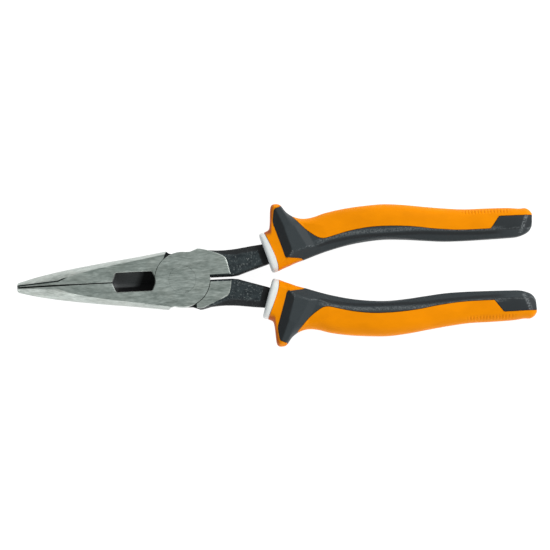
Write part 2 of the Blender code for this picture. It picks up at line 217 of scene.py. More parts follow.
# Guard facets, along u (behind the collar) and v (across the handle) from the guard's own origin
GUARD_ORIGIN = np.array([40.4, 1.8])
GUARD_U = np.array([0.954, 0.301])
GUARD_V = np.array([-0.301, 0.954])
FRONT_HEIGHT = 6.9
PAD_FRONT_U = 4.7
FACET_RISE = 0.55
TOP_FALL = 0.05
TOP_FROM_U = 7.5
TOP_LOWEST = 8.7
BACK_RIDGE = (np.array([50.4, 16.0]), np.array([0.892, 0.453]))
BACK_RIDGE_HEIGHT = 8.87
BACK_FALL = 0.38
BACK_WIDTH = 3.4
BACK_RISE = 0.08
FIN_V = 15.0
FIN_FALL = 0.25
FIN_RISE = 0.1  # how far the fin would stand above the highest that the grip may be
FIN_THINNING = 0.8
FIN_FRONT_SLANT, FIN_FRONT_V = 0.45, 12.5  # the fin's front edge lies at u = slant * (v - the second)
FIN_PAINT_V = (15.0, 16.5)  # the fin front's painted shade begins here across the handle
FIN_PAINT_DEPTH = (0.7, 1.8)  # and ends this far behind the front edge
# How softly the facets meet: pillow with fin, one facet with another, with the back, with the bevels
PILLOW_SOFT, FACET_SOFT, BACK_SOFT, BEVEL_SOFT = 0.5, 0.12, 0.06, 0.3
# The ridge between the grip's top and its inner bevel: x, y, height
INNER_RIDGE = [(40, 4.6, 7.2), (43.4, 6.9, 7.9), (46.8, 8.9, 9.0), (52.5, 10.8, 8.8), (58.5, 12.3, 8.0),
               (65, 13.8, 7.5), (75, 15.1, 7.6), (85.5, 15.4, 7.7), (100.5, 15.4, 7.6), (110.5, 14.8, 7.35),
               (120.5, 14.3, 7.2), (130.5, 14.1, 7.15), (143, 14.4, 7.0), (150, 15.5, 6.6)]
INNER_BEVEL = 1.2
# Bands beside that ridge, of painted shade and of wear with painted highlight, as distances inwards where
# each begins and where it ends
SHADE_BAND = ((-0.1, 0.3), (1.1, 1.6))
WEAR_AND_HIGHLIGHT_BAND = ((-2.2, -1.4), (-0.6, -0.1))
SHADE_END_X = (128, 132)  # from here on, the strip's outer side gets painted shade too
END_FACET = (np.array([144.7, 17.8]), np.array([0.93, -0.36]))
END_FACET_HEIGHT = 7.75
END_FALL = 0.5

# Where the overmould meets the orange body, in plan
PAD_EDGE = [(51.6, 5.7), (50.8, 6.25), (49.8, 6.5), (44.6, 6.95), (43.9, 7.25), (43.4, 8.2), (43.0, 9.7),
            (41.5, 14.5), (40.0, 19.2), (39.2, 21.9), (39.4, 25.0), (39.75, 27.2), (40.1, 27.8),
            (40.9, 28.2), (42.6, 28.9)]
STRIP_EDGE = [(47.6, 24.2), (49.5, 22.1), (51.5, 19.9), (53.5, 17.9), (55.5, 16.4), (57.3, 15.2),
              (58.8, 14.55), (60.5, 14.35), (62.5, 14.7), (65.5, 15.5), (70.5, 16.75), (75.5, 17.6),
              (80.5, 18.1), (85.5, 18.2), (90.5, 18.05), (95.5, 17.7), (100.5, 17.1), (105.5, 16.3),
              (110.5, 15.7), (115.5, 15.2), (120.5, 15.0), (129.8, 15.0), (130.8, 15.25), (133.6, 19.0),
              (134.3, 19.9), (135.2, 20.15), (146.0, 20.1)]
STRIP_END_Y = 20.05
EDGE_STEP = 0.33
LIP = 0.17
LIP_DEPTH = 0.28
SEAM_HALF_GAP = 0.05
OVERMOULD_DEPTH = 1.2
OVERMOULD_FIT = 0.06

# Picture
PHOTO_TURN = math.radians(2.78)
CAMERA_TILT = math.radians(3.0)
CAMERA_DISTANCE = 1.2
VIEW_WIDTH = 0.2327
VIEW_CENTRE = (-0.00025, 0.00025)
TENT = (("Z", 0.6, 0.97, 0.74, 0.45), ("X", -0.95, -0.5, 0.12, 1.0))  # axis, from, to, strengths there
TENT_OVERHEAD_Z = 0.6
TENT_TINTS = ((1.0, 1.0, 0.985), (0.95, 1.04, 1.01))  # all round, and overhead
LIGHTS = (  # name, place, size, watts
    ("key", (1.0, 0.55, 0.85), (0.5, 0.5), 11.8),
    ("side", (-0.1, -1.2, 0.45), (1.2, 0.4), 2.6),
)
FLOOR_HALF_WIDTH = 1.5
SENSOR = 36.0


def placed(points, turned):
    """Points of the frame, in metres, from points in millimetres from the pivot."""
    points = np.asarray(points, float) * MM
    if turned:
        points = points * (1, -1, -1)
    return points + PIVOT


def smooth_rows(rows, spacing):
    """Rows of numbers smoothly interpolated; spacing is a number, or a function of a row's first number."""
    rows = np.array(rows, float)
    ends = np.vstack([2 * rows[0] - rows[1], rows, 2 * rows[-1] - rows[-2]])
    line = []
    for a, b, c, d in zip(ends, ends[1:], ends[2:], ends[3:]):
        step = spacing(b[0]) if callable(spacing) else spacing
        length = max(np.linalg.norm((c - b)[k:k + 2]) for k in range(0, len(b) - 1, 2))
        steps = max(1, math.ceil(length / step))
        square = 2 * a - 5 * b + 4 * c - d
        cube = 3 * b - a - 3 * c + d
        for t in np.arange(steps) / steps:
            line.append(0.5 * (2 * b + (c - a) * t + square * t**2 + cube * t**3))
    line.append(rows[-1])
    return np.array(line)


def along(table, x):
    """Linear interpolation in a table of (place, value)."""
    table = np.array(table, float)
    return np.interp(x, table[:, 0], table[:, 1])


def soft_min(a, b, reach):
    """The lower of two heights, rounded where they are within reach of each other."""
    blend = np.clip(0.5 + 0.5 * (b - a) / reach, 0, 1)
    return b + (a - b) * blend - reach * blend * (1 - blend)


def smooth_step(low, high, x):
    t = np.clip((x - low) / (high - low), 0, 1)
    return t * t * (3 - 2 * t)


def between(x, opens, closes):
    """One from the smooth step opens to the smooth step closes, and zero outside them."""
    return smooth_step(*opens, x) * (1 - smooth_step(*closes, x))


def summed(steps):
    """Running sums of steps, from zero."""
    return np.concatenate([[0], np.cumsum(steps)])


def rows_at(x, places, rows):
    """Rows that stand at places, linearly interpolated at x."""
    return np.stack([np.interp(x, places, column) for column in rows.T], -1)


def squashed_circle(squareness, turn):
    """Unit points of a superellipse at angles turn, from the inner side over the top to the outer side."""
    across = -np.sign(np.cos(turn)) * np.abs(np.cos(turn)) ** (2 / squareness)
    up = np.sign(np.sin(turn)) * np.abs(np.sin(turn)) ** (2 / squareness)
    return across, up


def box_ring(inner, outer, half_height, squareness):
    """A closed ring in the upright plane over the line from inner to outer: a box with rounded corners."""
    across, up = squashed_circle(squareness, 2 * np.pi * np.arange(BAR_SIDES) / BAR_SIDES)
    plan = (inner + outer) / 2 + across[:, None] * ((outer - inner) / 2)
    return np.column_stack([plan, up * half_height])


def rounded_corners(corners, radius, steps=4):
    """A polygon's points with each corner replaced by a short arc."""
    corners = np.array(corners, float)
    points = []
    for p, q, r in zip(np.roll(corners, 1, 0), corners, np.roll(corners, -1, 0)):
        reach_in, reach_out = np.linalg.norm(p - q), np.linalg.norm(r - q)
        start = q + (p - q) / reach_in * min(radius, 0.45 * reach_in)
        end = q + (r - q) / reach_out * min(radius, 0.45 * reach_out)
        for t in np.linspace(0, 1, steps + 1):
            points.append((1 - t) ** 2 * start + 2 * t * (1 - t) * q + t**2 * end)
    return np.array(points)


def loft_faces(count, sides, first=0):
    faces = []
    for r in range(count - 1):
        for k in range(sides):
            a, b = first + r * sides + k, first + r * sides + (k + 1) % sides
            faces.append((a, b, b + sides, a + sides))
    return faces


def shown(name, data):
    """A new object in the scene for the data."""
    item = bpy.data.objects.new(name, data)
    bpy.context.scene.collection.objects.link(item)
    return item


def add_mesh(name, points, faces, looks, turned=False):
    """A mesh object from points in millimetres, with its materials."""
    mesh = bpy.data.meshes.new(name)
    mesh.from_pydata(placed(points, turned).tolist(), [], faces)
    for look in looks:
        mesh.materials.append(look)
    return shown(name, mesh)


def add_loft(name, rings, looks, turned=False):
    """A closed solid through rings of equal length, capped at both ends, with its faces turned outwards."""
    sides = len(rings[0])
    last = (len(rings) - 1) * sides
    caps = [tuple(range(sides)), tuple(range(last, last + sides))]
    item = add_mesh(name, np.vstack(rings), loft_faces(len(rings), sides) + caps, looks, turned)
    shape = bmesh.new()
    shape.from_mesh(item.data)
    bmesh.ops.recalc_face_normals(shape, faces=shape.faces)
    shape.to_mesh(item.data)
    shape.free()
    return item


def add_turned(name, profile, sides, look):
    """A solid turned about the pivot axis from (radius, height) pairs."""
    turn = 2 * np.pi * np.arange(sides) / sides
    circle = np.column_stack([np.cos(turn), np.sin(turn)])
    return add_loft(name, prism_rings([(radius * circle, height) for radius, height in profile]), [look])


def unit(vectors):
    """Vectors scaled to length one."""
    return vectors / np.maximum(1e-9, np.linalg.norm(vectors, axis=-1, keepdims=True))


def offset_outline(outline, distance):
    """A plan outline moved outwards by distance; its points run anticlockwise."""
    points = np.array(outline, float)
    first = unit(points - np.roll(points, 1, axis=0))
    second = unit(np.roll(points, -1, axis=0) - points)
    normal = unit(np.column_stack([first[:, 1] + second[:, 1], -first[:, 0] - second[:, 0]]))
    stretch = np.maximum(0.5, normal[:, 0] * first[:, 1] - normal[:, 1] * first[:, 0])
    return points + normal * (distance / stretch)[:, None]


def mirrored(side):
    """(place, height) pairs of an upper side, led by the same pairs below."""
    return [(place, -z) for place, z in reversed(side)] + side


def prism_rings(levels):
    """Rings of an upright solid from (plan outline, height) pairs."""
    return [np.column_stack([outline, np.full(len(outline), z)]) for outline, z in levels]


def carve(item, tool, operation):
    """Applies a Boolean with tool to item, and removes the tool."""
    step = item.modifiers.new(tool.name, "BOOLEAN")
    step.operation = operation
    step.object = tool
    step.solver = "EXACT"
    step.material_mode = "TRANSFER"
    bpy.context.view_layer.update()
    made = bpy.data.meshes.new_from_object(item.evaluated_get(bpy.context.evaluated_depsgraph_get()))
    item.modifiers.clear()
    old = item.data
    item.data = made
    bpy.data.meshes.remove(old)
    bpy.data.objects.remove(tool)


# ---------------------------------------------------------------- materials


class Nodes:
    """Short calls for the few shader nodes that the materials and the world are made of."""

    def __init__(self, tree):
        self.nodes = tree.nodes
        self.links = tree.links

    def split(self, vector):
        """The vector's parts, by the names of the axes."""
        made = self.nodes.new("ShaderNodeSeparateXYZ")
        self.links.new(vector, made.inputs["Vector"])
        return made.outputs

    def spread(self, value, low, high, to_low=0.0, to_high=1.0, curve="LINEAR"):
        """Maps low..high to to_low..to_high, clamped."""
        made = self.nodes.new("ShaderNodeMapRange")
        made.interpolation_type = curve
        for name, number in (("From Min", low), ("From Max", high), ("To Min", to_low), ("To Max", to_high)):
            made.inputs[name].default_value = number
        self.links.new(value, made.inputs["Value"])
        return made.outputs["Result"]

    def math(self, operation, first, second=0.0):
        made = self.nodes.new("ShaderNodeMath")
        made.operation = operation
        for socket, value in zip(made.inputs, (first, second)):
            if isinstance(value, (int, float)):
                socket.default_value = value
            else:
                self.links.new(value, socket)
        return made.outputs["Value"]

    def mix(self, factor, first, second):
        """A colour between two colours, which are sockets or triples."""
        made = self.nodes.new("ShaderNodeMix")
        made.data_type = "RGBA"
        self.links.new(factor, made.inputs["Factor"])
        for name, value in (("A", first), ("B", second)):
            socket = [s for s in made.inputs if s.name == name and s.type == "RGBA"][0]
            if isinstance(value, tuple):
                socket.default_value = (*value, 1.0)
            else:
                self.links.new(value, socket)
        return [s for s in made.outputs if s.type == "RGBA"][0]


class Look(Nodes):
    """A material under construction."""

    def __init__(self, name):
        self.made = bpy.data.materials.new(name)
        self.made.use_nodes = True
        super().__init__(self.made.node_tree)
        self.shader = self.nodes["Principled BSDF"]
        self.place = self.nodes.new("ShaderNodeTexCoord").outputs["Object"]

    def set(self, **values):
        for name, value in values.items():
            self.shader.inputs[name.replace("_", " ")].default_value = value

    def noise(self, per_mm, detail=2.0, rough=0.5, shift=0.0):
        """Noise with the given number of cells in a millimetre along x, y and z."""
        fit = self.nodes.new("ShaderNodeMapping")
        fit.inputs["Scale"].default_value = [n / MM for n in per_mm]
        fit.inputs["Location"].default_value = (shift, shift, shift)
        self.links.new(self.place, fit.inputs["Vector"])
        made = self.nodes.new("ShaderNodeTexNoise")
        made.inputs["Scale"].default_value = 1.0
        made.inputs["Detail"].default_value = detail
        made.inputs["Roughness"].default_value = rough
        self.links.new(fit.outputs["Vector"], made.inputs["Vector"])
        return made.outputs["Fac"]

    def painted(self, name):
        """A value painted on the mesh."""
        made = self.nodes.new("ShaderNodeAttribute")
        made.attribute_name = name
        return made.outputs["Fac"]

    def place_along(self, axis):
        """The place along an axis in millimetres from the pivot, on the closed tool."""
        start = float(PIVOT["XYZ".index(axis)])
        shifted = self.math("SUBTRACT", self.split(self.place)[axis], start)
        return self.math("DIVIDE", shifted, MM)

    def finished(self, colour, roughness, relief, depth_mm):
        """The material with its colour, its roughness and its relief, which is a value and a depth."""
        bump = self.nodes.new("ShaderNodeBump")
        bump.inputs["Strength"].default_value = 1.0
        bump.inputs["Distance"].default_value = depth_mm * MM
        self.links.new(relief, bump.inputs["Height"])
        fed = {"Base Color": colour, "Roughness": roughness, "Normal": bump.outputs["Normal"]}
        for name, value in fed.items():
            self.links.new(value, self.shader.inputs[name])
        return self.made


def ground_steel(name):
    """Steel ground along the tool: fine streaks and slight stains."""
    look = Look(name)
    look.set(Metallic=1.0)
    fine = look.noise((0.36, 1.7, 1.7), 4.0, 0.65)
    broad = look.noise((0.10, 0.55, 0.55), 2.0, 0.5, 5)
    stain = look.noise((0.12, 0.16, 0.16), 3.0, 0.6, 9)
    streak = look.math("ADD", look.math("MULTIPLY", fine, 0.6), look.math("MULTIPLY", broad, 0.4))
    colour = look.mix(look.spread(streak, 0.34, 0.66), (0.27, 0.305, 0.285), (0.62, 0.67, 0.64))
    colour = look.mix(look.spread(stain, 0.45, 0.75, 0.0, 0.35), colour, (0.47, 0.48, 0.44))
    return look.finished(colour, look.spread(streak, 0.35, 0.65, 0.28, 0.44), fine, 0.004)


def seam_shade_steel(name):
    """Machined steel painted near black as the seam's shade: the gripping faces and the wall beside the
    seam.
    """
    look = Look(name)
    look.set(Metallic=1.0)
    grain = look.noise((1.5, 4.0, 4.0), 3.0, 0.6)
    colour = look.mix(look.spread(grain, 0.35, 0.65), (0.018, 0.023, 0.023), (0.036, 0.043, 0.043))
    return look.finished(colour, look.spread(grain, 0.3, 0.7, 0.45, 0.6), grain, 0.01)


def window_skin(name):
    """The cutter window's walls: painted light, greyer, on the blades' flanks towards the nose, and painted
    shade, near black, elsewhere.
    """
    look = Look(name)
    look.set(Specular_IOR_Level=0.25)
    grain = look.noise((2.6, 2.6, 2.6), 4.0, 0.65)
    slanted = look.math("ADD", look.place_along("X"), look.math("MULTIPLY", look.place_along("Y"), -0.4))
    front = look.spread(slanted, -20.5, -17.5, 1.0, 0.0)
    # Painted light and shade: the flanks towards the nose are painted grey as lit, the rest near black as
    # shade.
    wear_and_highlight = look.math("MULTIPLY", front, look.spread(look.place_along("Y"), -2.1, -1.3))
    colour = look.mix(look.spread(grain, 0.3, 0.7), (0.10, 0.106, 0.11), (0.16, 0.165, 0.17))
    colour = look.mix(wear_and_highlight, (0.003, 0.003, 0.004), colour)
    return look.finished(colour, look.spread(grain, 0.3, 0.7, 0.5, 0.65), grain, 0.03)


def behind_collar_front(look):
    """How far a point lies behind the collar's front."""
    x, y = COLLAR_FRONT[0]
    ahead = look.math("MULTIPLY", look.math("SUBTRACT", look.place_along("X"), x), GUARD_U[0])
    aside = look.math("SUBTRACT", look.math("ABSOLUTE", look.place_along("Y")), y)
    return look.math("ADD", ahead, look.math("MULTIPLY", aside, GUARD_U[1]))


def black_skin(name):
    """Black forging skin: rough, with pits and rubbed specks, with painted shade blacker beside the collar
    and on its sides.
    """
    look = Look(name)
    look.set(Metallic=0.3, Specular_IOR_Level=0.3)
    grain = look.noise((3.2, 3.2, 3.2), 4.0, 0.65)
    cloud = look.noise((0.35, 0.5, 0.5), 3.0, 0.6, 3)
    speck = look.noise((1.2, 1.2, 1.2), 4.0, 0.7, 7)
    colour = look.mix(look.spread(cloud, 0.35, 0.7), (0.014, 0.021, 0.025), (0.038, 0.051, 0.056))
    colour = look.mix(look.spread(speck, 0.56, 0.68, 0.0, 0.8), colour, (0.24, 0.26, 0.26))
    # Painted shade: blacker just in front of the collar, where it shades the tang, and on the tang's sides.
    side = look.spread(look.math("ABSOLUTE", look.place_along("Z")), 4.5, 5.15, 0.8, 0.0)
    skin_painted_shade = look.math("MAXIMUM", look.spread(behind_collar_front(look), -3.0, -2.4), side)
    rough = look.math("MULTIPLY", skin_painted_shade, 0.15)
    rough = look.math("ADD", look.spread(grain, 0.3, 0.7, 0.45, 0.62), rough)
    return look.finished(look.mix(skin_painted_shade, colour, (0.007, 0.008, 0.009)), rough, grain, 0.05)


def orange_plastic(name):
    """Satin orange, with painted shade darker and redder where the fin faces forwards."""
    look = Look(name)
    look.set(IOR=1.44, Specular_IOR_Level=0.06)
    grain = look.noise((5.5, 5.5, 5.5), 3.0, 0.6)
    cloud = look.noise((0.12, 0.2, 0.2), 2.0, 0.5, 4)
    colour = look.mix(look.spread(cloud, 0.3, 0.7), (0.86, 0.262, 0.0), (0.94, 0.290, 0.0))
    # Painted shade on the fin's forward face.
    colour = look.mix(look.painted("fin_front_shade"), colour, (0.54, 0.125, 0.022))
    return look.finished(colour, look.spread(grain, 0.3, 0.7, 0.44, 0.56), grain, 0.012)


def grey_rubber(name):
    """Soft overmould: fine grained, with wear and painted highlight lighter on its ridges and painted shade
    darker on its facets and bevels.
    """
    look = Look(name)
    look.set(IOR=1.45, Specular_IOR_Level=0.28)
    grain = look.noise((4.5, 4.5, 4.5), 4.0, 0.65)
    speck_noise = look.noise((1.6, 1.6, 1.6), 5.0, 0.7, 6)
    # Wear and painted highlight: lighter specks on the ridges.
    wear_and_highlight = look.math("MULTIPLY", look.painted("wear_and_highlight"), look.spread(speck_noise, 0.42, 0.62))
    colour = look.mix(look.spread(grain, 0.35, 0.65), (0.029, 0.037, 0.042), (0.041, 0.051, 0.056))
    # Painted shade: darker on the front facet, the inner bevel and the strip's end.
    colour = look.mix(look.painted("painted_shade"), colour, (0.019, 0.023, 0.026))
    colour = look.mix(wear_and_highlight, colour, (0.24, 0.26, 0.27))
    return look.finished(colour, look.spread(grain, 0.3, 0.7, 0.5, 0.66), grain, 0.03)


def white_plastic(name):
    """White insulation, with painted shade greyer at the collar's front."""
    look = Look(name)
    look.set(IOR=1.5)
    cloud = look.noise((0.4, 0.4, 0.4), 2.0, 0.5)
    grain = look.noise((6.0, 6.0, 6.0), 2.0, 0.5, 2)
    colour = look.mix(look.spread(cloud, 0.3, 0.7), (0.80, 0.82, 0.81), (0.86, 0.88, 0.87))
    # Painted shade: the collar's rounded front is painted grey.
    front = look.spread(behind_collar_front(look), -0.9, 1.9, 0.9, 0.0)
    colour = look.mix(front, colour, (0.40, 0.44, 0.48))
    return look.finished(colour, look.spread(cloud, 0.3, 0.7, 0.28, 0.38), grain, 0.004)


# ---------------------------------------------------------------- forging


def rein_ends(x, half_width):
    """The rein's inner and outer side, square across its centre line at x."""
    line = smooth_rows(REIN_LINE, 1.0)
    centre = np.array([x, along(line, x)])
    across = unit(np.array([along(line, x - 1) - along(line, x + 1), 2.0]))
    return centre - across * half_width, centre + across * half_width


def bar_rings(grow):
    """Rounded box rings of the rein, grown by grow all round and at its end."""
    rings = []
    for x, half_width, half_height in REIN_SECTIONS:
        ends = rein_ends(x, half_width + grow)
        rings.append(box_ring(*ends, half_height + grow, BAR_SQUARENESS))
    rings[-1][:, 0] += grow
    return rings


def tang_ring(inner, outer, half_height, bevel, bevel_z):
    """Section of the tang: flat above and below, a broad outer bevel and a narrow inner chamfer."""
    inner, outer = np.array(inner, float), np.array(outer, float)
    width = np.linalg.norm(outer - inner)
    chamfer_z = half_height - TANG_CHAMFER
    upper = [(0, chamfer_z), (TANG_CHAMFER, half_height), (width - bevel, half_height), (width, bevel_z)]
    corners = upper + [(across, -z) for across, z in reversed(upper)]
    section = rounded_corners(corners, TANG_CORNER)
    plan = inner + section[:, :1] * (outer - inner) / width
    return np.column_stack([plan, section[:, 1]])


def tang_rings():
    rings = [tang_ring(*line) for line in TANG_LINES]
    for x, half_width, half_height in REIN_SECTIONS:
        ends = rein_ends(x, half_width)
        rings.append(tang_ring(*ends, half_height, REIN_BEVEL, half_height - TANG_CHAMFER))
    return rings


def jaw_side(x, half_width, tooth, wall, flat_points=3, arc_points=16):
    """The jaw's upper side, as (distance from the seam, height) pairs.

    They run from the gripping face over the seam's slot, the strip beside it and its wall, the ground face
    and the rounded back.
    """
    crest = JAW_CREST_SLOPE * half_width - JAW_CREST_DROP
    power = along(JAW_SQUARENESS, x)
    slot = along(SEAM_SLOT, x) + abs(tooth)
    strip = max(slot + 0.08, min(along(SEAM_STRIP, x), 0.6 * half_width))

    def height(y):
        return min(HEAD_HALF_HEIGHT, crest * max(0.0, 1 - (y / half_width) ** power) ** (1 / power))

    depth = along(SEAM_STRIP_DEPTH, x)
    floor = height(strip) - depth
    slot_depth = min(SEAM_SLOT_DEPTH, 0.5 * floor)
    back = strip + max(0.03, wall * min(1.0, 2 * depth / SEAM_STRIP_DEPTH[1][1]))
    side = [(JAW_GAP + tooth, floor - slot_depth - 0.2), (slot, floor - slot_depth), (slot, floor - 0.05),
            (slot + 0.05, floor), (strip, floor), (back, height(back))]
    crease = half_width * max(0.0, 1 - (HEAD_HALF_HEIGHT / crest) ** power) ** (1 / power)
    crease = max(crease, back + 0.05)
    for k in range(1, flat_points):
        across = back + (crease - back) * k / flat_points
        side.append((across, height(across)))
    start = math.acos(crease / half_width)
    for k in range(arc_points):
        across = half_width * math.cos(start * (1 - k / arc_points))
        side.append((across, height(across)))
    return side


def jaw_ring(x, half_width, turned):
    """Section of the lower jaw, with the teeth of the gripping face."""
    tooth = 0.0
    if TEETH_X[0] < x < TEETH_X[1]:
        tooth = TOOTH_DEPTH * (abs(2 * ((x / TOOTH_PITCH) % 1.0) - 1) - 0.5) * (-1 if turned else 1)
    above, below = (jaw_side(x, half_width, tooth, wall) for wall in STRIP_WALLS)
    side = above + [(half_width, 0.0)] + [(y, -z) for y, z in reversed(below)]
    return np.array([(x, -y, z) for y, z in side])


def add_jaw(name, turned, steel, seam_shade_steel):
    """The lower jaw with its teeth; its gripping face, slot and lower wall get the steel painted dark as
    shade.
    """
    line = smooth_rows(JAW_HALF_WIDTH, 1.0)
    places = list(np.arange(TEETH_X[0], TEETH_X[1], TOOTH_PITCH / 2))
    places += list(np.arange(TEETH_X[1], SHOULDER_X, 2.0)) + [SHOULDER_X]
    sections = TIP_RINGS + [(x, along(line, x)) for x in places if x > TIP_X + 0.45] + SHOULDER_RINGS
    rings = [jaw_ring(x, half_width, turned) for x, half_width in sections]
    item = add_loft(name, rings, [steel, seam_shade_steel])
    sides = len(rings[0])
    wall = sides - 6
    # Painted shade: these faces are near black for the shade in the seam and on the lower wall, which faces
    # up on half B.
    dark = (0, 1, wall, sides - 3, sides - 2, sides - 1)
    for face in item.data.polygons[:sides * (len(rings) - 1)]:
        beyond_strip = sections[face.index // sides][0] > SEAM_STRIP_DEPTH[-1][0]
        side = face.index % sides
        if side in dark and not (side == wall and beyond_strip):
            face.material_index = 1
    return item


def relief_outline():
    """Plan of what is cut from a half on the other half's side of the lap joint, with the two shoulders."""
    jaw_corner = math.atan2(JAW_SHOULDER[1], JAW_SHOULDER[0])
    tang_corner = math.atan2(TANG_SHOULDER[1], TANG_SHOULDER[0])
    outline = []
    for radius, start, end, beyond in (
        (RELIEF_R, -math.pi / 2, tang_corner, TANG_SHOULDER_BEYOND),
        (RELIEF_R - RELIEF_STEP, math.pi / 2, 2 * math.pi + jaw_corner, JAW_SHOULDER_BEYOND),
    ):
        turn = np.linspace(start, end, RELIEF_ARC_POINTS)
        outline += [(radius * math.cos(a), radius * math.sin(a)) for a in turn]
        outline += beyond
    return np.array(outline)


def add_window_cutter(open_side, window_skin, steel):
    """The cutter window's pocket with its chamfered steel rim; it opens to the side that open_side names."""
    outline = rounded_corners(WINDOW_OUTLINE[::-1], WINDOW_CORNER)
    edge_y = EDGE_HALF_WIDTH * np.sign(outline[:, 1] + 0.001)
    edge = np.column_stack([np.clip(outline[:, 0], *EDGE_X), edge_y])
    levels = [
        (offset_outline(outline, WINDOW_RIM + 1.0), HEAD_HALF_HEIGHT + 1.0),
        (outline, HEAD_HALF_HEIGHT - WINDOW_RIM),
        (outline, WINDOW_WALL_Z),
        (edge, EDGE_Z),
    ]
    rings = prism_rings([(line, z * open_side) for line, z in levels])
    item = add_loft("window", rings, [window_skin, steel])
    for face in item.data.polygons[:len(outline)]:
        face.material_index = 1
    return item


def rivet_profile(grow, chamfer, beyond):
    """A rivet's or its hole's profile; the chamfer narrows a rivet and, negative, widens a hole."""
    head = RIVET_HEAD_R + grow
    return mirrored([(RIVET_R + grow, HEAD_HALF_HEIGHT - RIVET_HEAD_DEPTH),
                     (head, HEAD_HALF_HEIGHT - abs(chamfer)),
                     (head - chamfer + beyond, HEAD_HALF_HEIGHT + beyond)])


def pad_side(outline):
    """(line, height) from the wall below a ground pad over its lip to its face."""
    lips = np.where(np.array(outline)[:, 0] > PAD_BACK_X, PAD_LIPS[1], PAD_LIPS[0])
    foot, top = PAD_FLARE
    return [(offset_outline(outline, foot), TANG_HALF_HEIGHT - 0.05),
            (offset_outline(outline, top), HEAD_HALF_HEIGHT - PAD_LIP_DROP),
            (offset_outline(outline, -lips), HEAD_HALF_HEIGHT)]


def add_pad(steel, skin):
    """The ground pads of both faces in one solid; the wall between them keeps its forging skin."""
    side = [(line, -z) for line, z in reversed(pad_side(OTHER_PAD))] + pad_side(PAD_OUTLINE)
    item = add_loft("pad", prism_rings(side), [steel, skin])
    wall = 2 * len(PAD_OUTLINE)
    for face in item.data.polygons[wall:wall + len(PAD_OUTLINE)]:
        face.material_index = 1
    return item


def add_forging(name, turned, steel, seam_shade_steel, skin, window_skin):
    """One half: its lower jaw, its layer of the lap joint, its tang and the rein inside the handle."""
    item = add_jaw(name, turned, steel, seam_shade_steel)
    rim = [(DISC_R, HEAD_HALF_HEIGHT - DISC_EDGE), (DISC_R - DISC_EDGE, HEAD_HALF_HEIGHT)]
    carve(item, add_turned("disc", mirrored(rim), DISC_SIDES, steel), "UNION")
    carve(item, add_pad(steel, skin), "UNION")
    carve(item, add_loft("tang", tang_rings(), [skin]), "UNION")
    outline = relief_outline()
    levels = [(outline, -HEAD_HALF_HEIGHT - 2), (outline, LAYER_GAP)]
    carve(item, add_loft("relief", prism_rings(levels), [skin]), "DIFFERENCE")
    hole = rivet_profile(RUNNING_CLEARANCE, -0.05, 1.0)
    carve(item, add_turned("rivet_hole", hole, RIVET_SIDES, steel), "DIFFERENCE")
    carve(item, add_window_cutter(-1 if turned else 1, window_skin, steel), "DIFFERENCE")
    blacken_inner_wall(item, skin)
    return item


def blacken_inner_wall(item, skin):
    """The wall between the two tangs keeps its forging skin."""
    index = list(item.data.materials).index(skin)
    for face in item.data.polygons:
        centre = (np.array(face.center) - PIVOT) / MM
        if face.normal.y < -0.5 and centre[0] > INNER_WALL[0] and centre[1] < INNER_WALL[1]:
            face.material_index = index


def turned_over(item):
    """Turns a mesh in the frame's metres over about the X axis through the pivot."""
    turn = Matrix.Rotation(math.pi, 4, "X")
    place = Matrix.Translation(Vector(PIVOT))
    item.data.transform(place @ turn @ place.inverted())


def add_forgings(*looks):
    for half, turned in HALVES:
        item = add_forging(f"{half}_steel", turned, *looks)
        if turned:
            turned_over(item)
        finish_piece(item, half, [f"{half}_forging"], 23)


# ---------------------------------------------------------------- sleeve


def bow(across):
    """How far the back of the collar bows backwards, by the share of the way across the handle."""
    return COLLAR_BOW * np.sin(np.pi * np.clip(across, 0, 1) ** COLLAR_BOW_POWER)


def collar_ring(share, inset, half_height):
    """A ring of the collar, share of the way from its front to its back, inset at both edges."""
    inner, outer = COLLAR_FRONT + (COLLAR_BACK - COLLAR_FRONT) * share
    across = unit(outer - inner)
    ring = box_ring(inner + across * inset, outer - across * inset, half_height, GRIP_SQUARENESS)
    place = (ring[:, :2] - inner) @ across / np.linalg.norm(outer - inner)
    ring[:, :2] += np.outer(bow(place) * share, (across[1], -across[0]))
    return ring


def add_sleeve(name, turned, look):
    """The inner sleeve in one loft: up the bore, round the collar's rim, back along the tube to its end."""
    across = unit(COLLAR_FRONT[1] - COLLAR_FRONT[0]) * MOUTH_HALF_WIDTH
    mouth = box_ring(COLLAR_MOUTH - across, COLLAR_MOUTH + across, MOUTH_HALF_HEIGHT, BAR_SQUARENESS)
    rim = []
    for angle in np.linspace(0, math.pi / 2, 5):
        inset = COLLAR_ROUND * (1 - math.sin(angle))
        share = COLLAR_RIM_SHARE * (1 - math.cos(angle))
        rim.append(collar_ring(share, inset, COLLAR_HALF_HEIGHT - inset))
    body = [collar_ring(share, 0, COLLAR_HALF_HEIGHT) for share in COLLAR_BODY_SHARES]
    step = collar_ring(1.0, *COLLAR_STEP)
    tube = bar_rings(FIT_GAP + SLEEVE_WALL)[1:]
    rings = bar_rings(FIT_GAP)[::-1] + [mouth] + rim + body + [step] + tube
    return add_loft(name, rings, [look], turned)


# ---------------------------------------------------------------- grip


def profile_rows():
    """Lengths along a typical section's curve, and the shares across (0 inner, 1 outer) there."""
    across, up = squashed_circle(GRIP_SQUARENESS, np.linspace(0, np.pi, 4001))
    half_width, half_height = TYPICAL_SECTION
    length = summed(np.hypot(np.diff(across) * half_width, np.diff(up) * half_height))
    return length, (across + 1) / 2


